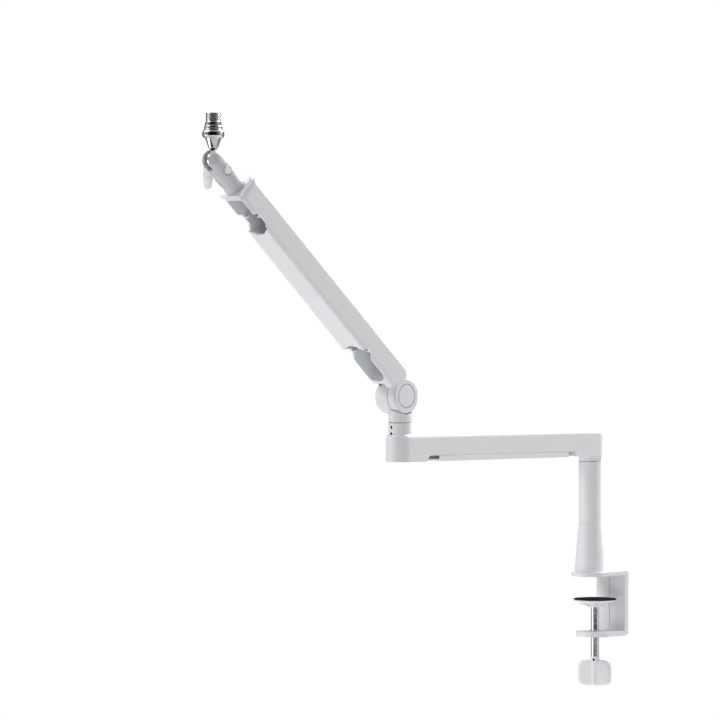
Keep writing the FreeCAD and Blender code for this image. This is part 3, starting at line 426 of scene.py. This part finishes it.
def build_thread_adapter():
    """Chrome adapter: a flared stem, a flange, a shoulder with turned grooves and the microphone thread."""
    low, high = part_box("thread_adapter")
    middle = middle_of("thread_adapter")
    foot = Vector((middle.x, middle.y, low.z))
    height = high.z - low.z
    flange = (high.x - low.x) / 2
    stud, pitch, depth = 7.94 * MM, 0.94 * MM, 0.35 * MM
    stud_foot = height - 9.3 * MM
    body_top = height - 8.8 * MM
    made = bmesh.new()
    body = [(0.0, 0.1 * MM), (5.0 * MM, 0.1 * MM), (5.3 * MM, 0.8 * MM), (8.9 * MM, 11.2 * MM),
            (flange - 1.2 * MM, 11.6 * MM), (flange, 13.4 * MM), (flange, 17.0 * MM),
            (flange - 1.0 * MM, 18.6 * MM), (10.4 * MM, 18.8 * MM), (10.3 * MM, 20.2 * MM),
            (9.6 * MM, 20.5 * MM), (9.6 * MM, 21.2 * MM), (10.0 * MM, 21.5 * MM), (9.7 * MM, 23.4 * MM),
            (9.0 * MM, 23.7 * MM), (9.0 * MM, 24.4 * MM), (9.3 * MM, 24.7 * MM),
            (8.4 * MM, height - 9.2 * MM), (7.2 * MM, body_top), (0.0, body_top)]
    turn_profile(made, rounded(body, 0.5 * MM), foot, segments=96)
    threaded(made, foot, stud, depth, pitch, stud_foot, height, segments=64, rows=9, crest=2.6)
    piece_from(made, "thread_adapter_turned", "thread_adapter")


def build_set_screws():
    """Black set screws with hexagon sockets, in the boss of the lower arm."""
    low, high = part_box("elbow_set_screws")
    turn = math.radians(5)
    axis = Vector((-math.cos(turn), math.sin(turn), 0.0))
    boss = middle_of("elbow_bush")
    boss_reach = 12.9 * MM
    radius = 2.0 * MM
    made = bmesh.new()
    for height in (low.z + radius, high.z - radius):
        face = Vector((boss.x, boss.y, height)) + axis * boss_reach
        socketed_disc(made, face, axis, radius, socket=1.1 * MM, depth=2.0 * MM, length=4.0 * MM)
    piece_from(made, "elbow_set_screws_socketed", "elbow_set_screws", 25.0)


def socketed_disc(mesh_data, face, axis, radius, socket, depth, length):
    """A short rod whose end face holds a hexagon socket."""
    side = axis.orthogonal().normalized()
    up = axis.cross(side)
    count = 36
    chamfer = 0.35 * MM
    sixth = math.radians(60)
    angles = [2 * math.pi * i / count for i in range(count)]

    def spoke(r, angle):
        return side * (r * math.cos(angle)) + up * (r * math.sin(angle))

    def ring(r, back):
        return [mesh_data.verts.new(face - axis * back + spoke(r, angle)) for angle in angles]

    outer_back = ring(radius, length)
    outer = ring(radius, chamfer)
    rim = ring(radius - chamfer, 0.0)
    mouth, floor = [], []
    for angle in angles:
        r = socket * math.cos(sixth / 2) / math.cos((angle % sixth) - sixth / 2)
        mouth.append(mesh_data.verts.new(face + spoke(r, angle)))
        floor.append(mesh_data.verts.new(face - axis * depth + spoke(r, angle)))
    for one, two in ((outer_back, outer), (outer, rim), (rim, mouth), (mouth, floor)):
        for i in range(count):
            j = (i + 1) % count
            mesh_data.faces.new((one[i], one[j], two[j], two[i]))
    mesh_data.faces.new(outer_back)
    mesh_data.faces.new(floor)


# ------------------------------------------------------------------ knobs


def build_wing_knob():
    """Paddle knob of the clamp screw: a flat-faced paddle with soft edges, and a thin hub whose collar stands
    above it."""
    low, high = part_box("wing_knob")
    middle = middle_of("wing_knob")
    turn = Matrix.Rotation(math.radians(-64), 3, "Z")
    across = turn @ Matrix(((1, 0, 0), (0, 0, 1), (0, 1, 0)))
    collar = 4.5 * MM
    half_along = 20.5 * MM
    half_thick = 4.5 * MM
    flat_share = 0.80
    half_up = (high.z - low.z - collar) / 2
    centre = Vector((middle.x, middle.y, low.z + half_up))
    made = bmesh.new()
    rim = superellipse(half_along, half_up, 4.6)

    def swell(share, angle):
        edge = max(0.0, (share - flat_share) / (1.0 - flat_share))
        return half_thick * (1.0 - edge ** 2.6) ** 0.42

    pillow(made, rim, swell, centre, across, rings=22)
    hub = [(0.0, -half_up + 0.6 * MM), (3.8 * MM, -half_up + 0.6 * MM), (5.35 * MM, -half_up + 2.6 * MM),
           (5.4 * MM, half_up - 1.6 * MM), (5.45 * MM, half_up + 0.4 * MM), (5.4 * MM, half_up + collar),
           (5.05 * MM, half_up + collar), (0.0, half_up + collar - 0.1 * MM)]
    turn_profile(made, rounded(hub, 0.7 * MM), centre, segments=64)
    piece_from(made, "wing_knob_moulded", "wing_knob", 50.0)


def build_head_wing_knob():
    """Wing knob of the ball head: a hub on the bolt's axis, and two blades hollowed for the fingers."""
    low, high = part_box("head_wing_knob")
    middle = middle_of("head_wing_knob")
    length = high.y - low.y
    across = Matrix(((0, 0, 1), (1, 0, 0), (0, 1, 0)))
    made = bmesh.new()
    blade_middle = Vector((middle.x, high.y - 7.5 * MM, middle.z))
    rim = superellipse(7.4 * MM, (high.z - low.z) / 2, 3.2)
    hollow_depth, hollow_at, hollow_spread = 0.75, 0.62, 0.22

    def swell(share, angle):
        reach = abs(math.sin(angle)) * share
        bowl = math.exp(-((reach - hollow_at) / hollow_spread) ** 2)
        hollow = hollow_depth * bowl * max(0.0, -math.cos(angle) + 0.4)
        return (1.45 + 0.35 * reach - hollow) * MM * (1 - share ** 6) ** 0.5

    pillow(made, rim, swell, blade_middle, across)
    hub_top = 0.74 * length
    hub = [(0.0, 0.0), (6.3 * MM, 0.0), (6.3 * MM, 2.2 * MM), (5.4 * MM, 0.62 * length),
           (4.2 * MM, hub_top), (0.0, hub_top)]
    turn_profile(made, rounded(hub, 0.8 * MM), Vector((middle.x, low.y, middle.z)), axis="y", segments=64)
    piece_from(made, "head_wing_knob_moulded", "head_wing_knob", 60.0)


# ------------------------------------------------------------------ pressure pad, by Geometry Nodes


def rib_ring_tree():
    """Ribs set round a circle: named inputs for their count, place and size."""
    tree = bpy.data.node_groups.new("rib_ring", "GeometryNodeTree")
    face = tree.interface
    face.new_socket("Geometry", in_out="INPUT", socket_type="NodeSocketGeometry")
    for name, kind in (("Count", "Int"), ("Ring Radius", "Float"), ("Rib Size", "Vector"),
                       ("Tilt", "Float"), ("Place", "Vector"), ("Finish", "Material")):
        face.new_socket(name, in_out="INPUT", socket_type="NodeSocket" + kind)
    face.new_socket("Geometry", in_out="OUTPUT", socket_type="NodeSocketGeometry")

    def add(kind, inputs=None, **settings):
        made = tree.nodes.new(kind)
        for name, value in settings.items():
            setattr(made, name, value)
        for name, value in (inputs or {}).items():
            if isinstance(value, bpy.types.NodeSocket):
                tree.links.new(value, made.inputs[name])
            else:
                made.inputs[name].default_value = value
        return made

    given = add("NodeGroupInput").outputs
    circle = add("GeometryNodeMeshCircle", {"Vertices": given["Count"], "Radius": given["Ring Radius"]})
    rib = add("GeometryNodeMeshCube", {"Size": given["Rib Size"]})
    index = add("GeometryNodeInputIndex")
    share = add("ShaderNodeMath", {0: index.outputs[0], 1: given["Count"]}, operation="DIVIDE")
    angle = add("ShaderNodeMath", {0: share.outputs[0], 1: 2 * math.pi}, operation="MULTIPLY")
    turn = add("ShaderNodeCombineXYZ", {"Y": given["Tilt"], "Z": angle.outputs[0]})
    ribs = add("GeometryNodeInstanceOnPoints", {"Points": circle.outputs[0], "Instance": rib.outputs[0],
                                                "Rotation": turn.outputs[0]})
    placed = add("GeometryNodeTransform", {"Geometry": ribs.outputs[0], "Translation": given["Place"]})
    real = add("GeometryNodeRealizeInstances", {"Geometry": placed.outputs[0]})
    joined = add("GeometryNodeJoinGeometry")
    tree.links.new(given["Geometry"], joined.inputs[0])
    tree.links.new(real.outputs[0], joined.inputs[0])
    done = add("GeometryNodeSetMaterial", {"Geometry": joined.outputs[0], "Material": given["Finish"]})
    out = add("NodeGroupOutput")
    tree.links.new(done.outputs[0], out.inputs[0])
    return tree


def with_nodes(mesh_data, name, node, tree, values):
    """The bmesh passed through a node tree, made a plain mesh and adopted for a CAD node."""
    data = bpy.data.meshes.new(name)
    mesh_data.to_mesh(data)
    mesh_data.free()
    base = bpy.data.objects.new(name + "_base", data)
    bpy.context.scene.collection.objects.link(base)
    modifier = base.modifiers.new("tree", "NODES")
    modifier.node_group = tree
    for item in tree.interface.items_tree:
        if item.in_out == "INPUT" and item.name in values:
            modifier[item.identifier] = values[item.name]
    bpy.context.view_layer.update()
    shown = base.evaluated_get(bpy.context.evaluated_depsgraph_get())
    plain = bpy.data.meshes.new_from_object(shown)
    bpy.data.objects.remove(base)
    made = bmesh.new()
    made.from_mesh(plain)
    return piece_from(made, name, node)


def build_pad_dish():
    """Shallow dish under the rubber, bored for the screw's end and stiffened by ribs from hub to rim."""
    low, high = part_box("pad_dish")
    middle = middle_of("pad_dish")
    rim = (high.x - low.x) / 2
    height = high.z - low.z
    foot = Vector((middle.x, middle.y, low.z))
    bore = 5.6 * MM
    ceiling = height - 1.5 * MM
    outside = [(bore, 0.0), (9.6 * MM, 0.0), (10.0 * MM, 3.2 * MM), (rim - 1.2 * MM, height - 2.3 * MM),
               (rim, height - 1.6 * MM), (rim, height)]
    inside = [(0.0, height), (0.0, ceiling), (bore, ceiling), (bore, 0.0)]
    made = bmesh.new()
    turn_profile(made, rounded(outside, 0.8 * MM) + inside, foot, segments=96)
    tree = rib_ring_tree()
    values = {"Count": 8, "Ring Radius": 14.2 * MM, "Rib Size": (9.0 * MM, 1.6 * MM, 1.8 * MM),
              "Tilt": -math.atan2(height - 4.6 * MM, rim - 10.0 * MM),
              "Place": (foot.x, foot.y, foot.z + 3.9 * MM), "Finish": FINISHES["white_metal"]}
    with_nodes(made, "pad_dish_ribbed", "pad_dish", tree, values)


build_clamp_screw()
build_thread_adapter()
build_set_screws()
build_wing_knob()
build_head_wing_knob()
build_pad_dish()


# ------------------------------------------------------------------ stage, lights and camera

BACK = Vector((-math.sqrt(0.5), -math.sqrt(0.5), 0.0))
RIGHT = Vector((math.sqrt(0.5), -math.sqrt(0.5), 0.0))
UP = Vector((0.0, 0.0, 1.0))
FLOOR_DROP = 0.36
FLOOR_RADIUS = 1.6
WORLD_LEVEL = 0.58
WORLD_RISE = 0.10
NEAR_SPREAD = 1.2
NEAR_SHADE = 0.99
FAR_SHADE = 0.7


def from_camera(back, right, up):
    """A place in the camera's own directions: towards it, to its right, and up."""
    return BACK * back + RIGHT * right + UP * up


AIM = from_camera(0.0, -0.25, 0.25)


def look_at(thing, place, aim):
    thing.location = place
    thing.rotation_mode = "QUATERNION"
    thing.rotation_quaternion = (Vector(aim) - Vector(place)).to_track_quat("-Z", "Y")


def build_floor():
    """A pale disc under the whole arm, well below the clamp."""
    low, high = cad_box
    middle = Matrix.Translation(((low[0] + high[0]) / 2, (low[1] + high[1]) / 2, low[2] - FLOOR_DROP))
    made = bmesh.new()
    bmesh.ops.create_circle(made, cap_ends=True, segments=128, radius=FLOOR_RADIUS, matrix=middle)
    data = bpy.data.meshes.new("studio_floor")
    made.to_mesh(data)
    made.free()
    floor = bpy.data.objects.new("studio_floor", data)
    bpy.context.scene.collection.objects.link(floor)

    def paint(tree):
        drift = tree.noise(3.0)
        colour = tree.mix(drift, (0.60, 0.60, 0.60), (0.63, 0.63, 0.63))
        return {"Base Color": colour, "Roughness": drift * 0.1 + 0.85}

    data.materials.append(finish_of("studio_floor", {}, paint))


def build_world():
    """White where it is seen directly. As a light it is an even room, almost black on the camera's side and
    dimmer on the far side."""
    world = bpy.data.worlds.new("studio")
    world.use_nodes = True
    bpy.context.scene.world = world
    tree = ShaderTree(world.node_tree)
    direction = tree.node("ShaderNodeTexCoord", {}, {}, "Generated")

    def towards(axis):
        inputs = {0: direction, 1: tuple(axis)}
        return tree.node("ShaderNodeVectorMath", {"operation": "DOT_PRODUCT"}, inputs, "Value")

    def glow(strength):
        inputs = {"Color": (1.0, 1.0, 1.0, 1.0), "Strength": strength}
        return tree.node("ShaderNodeBackground", {}, inputs, "Background")

    backward = towards(BACK)
    near = (backward * NEAR_SPREAD).clamped()
    far = (backward * -1.0).clamped()
    shade = (1.0 - near * NEAR_SHADE) * (1.0 - far * FAR_SHADE)
    light = glow(shade * (towards(UP) * WORLD_RISE + WORLD_LEVEL))
    white = glow(1.0)
    seen = tree.node("ShaderNodeLightPath", {}, {}, "Is Camera Ray")
    both = tree.node("ShaderNodeMixShader", {}, {0: seen, 1: light, 2: white}, "Shader")
    tree.node("ShaderNodeOutputWorld", {}, {"Surface": both})


def build_light(name, place, size, watts, glossy=True):
    """An oblong softbox that faces the arm and is hidden from the camera."""
    data = bpy.data.lights.new(name, "AREA")
    data.shape = "RECTANGLE"
    data.size, data.size_y = size
    data.energy = watts
    light = bpy.data.objects.new(name, data)
    bpy.context.scene.collection.objects.link(light)
    light.visible_glossy = glossy
    light.visible_camera = False
    look_at(light, place, AIM)


def build_camera():
    """A level camera with a long lens, 45 degrees round from the near side towards the arm's free end."""
    data = bpy.data.cameras.new("camera")
    data.lens = 165.0
    data.sensor_width = 36.0
    data.clip_end = 200.0
    camera = bpy.data.objects.new("camera", data)
    bpy.context.scene.collection.objects.link(camera)
    place = from_camera(3.960, -0.276, 0.259)
    look_at(camera, place, place - BACK)
    bpy.context.scene.camera = camera


build_floor()
build_world()
build_light("top_right_softbox", from_camera(-0.9, 0.75, 1.9), (1.2, 1.2), 120.0)
build_light("top_left_softbox", from_camera(0.1, -1.5, 1.9), (1.4, 1.0), 22.0)
build_light("left_low_softbox", from_camera(0.7, -2.4, -0.3), (1.4, 1.4), 13.0)
build_light("right_strip", from_camera(0.4, 2.3, 0.3), (0.4, 2.2), 4.0)
build_light("front_fill", from_camera(3.2, 0.0, 0.9), (2.0, 2.0), 25.0, glossy=False)
build_camera()
bpy.context.scene.view_settings.view_transform = "Standard"
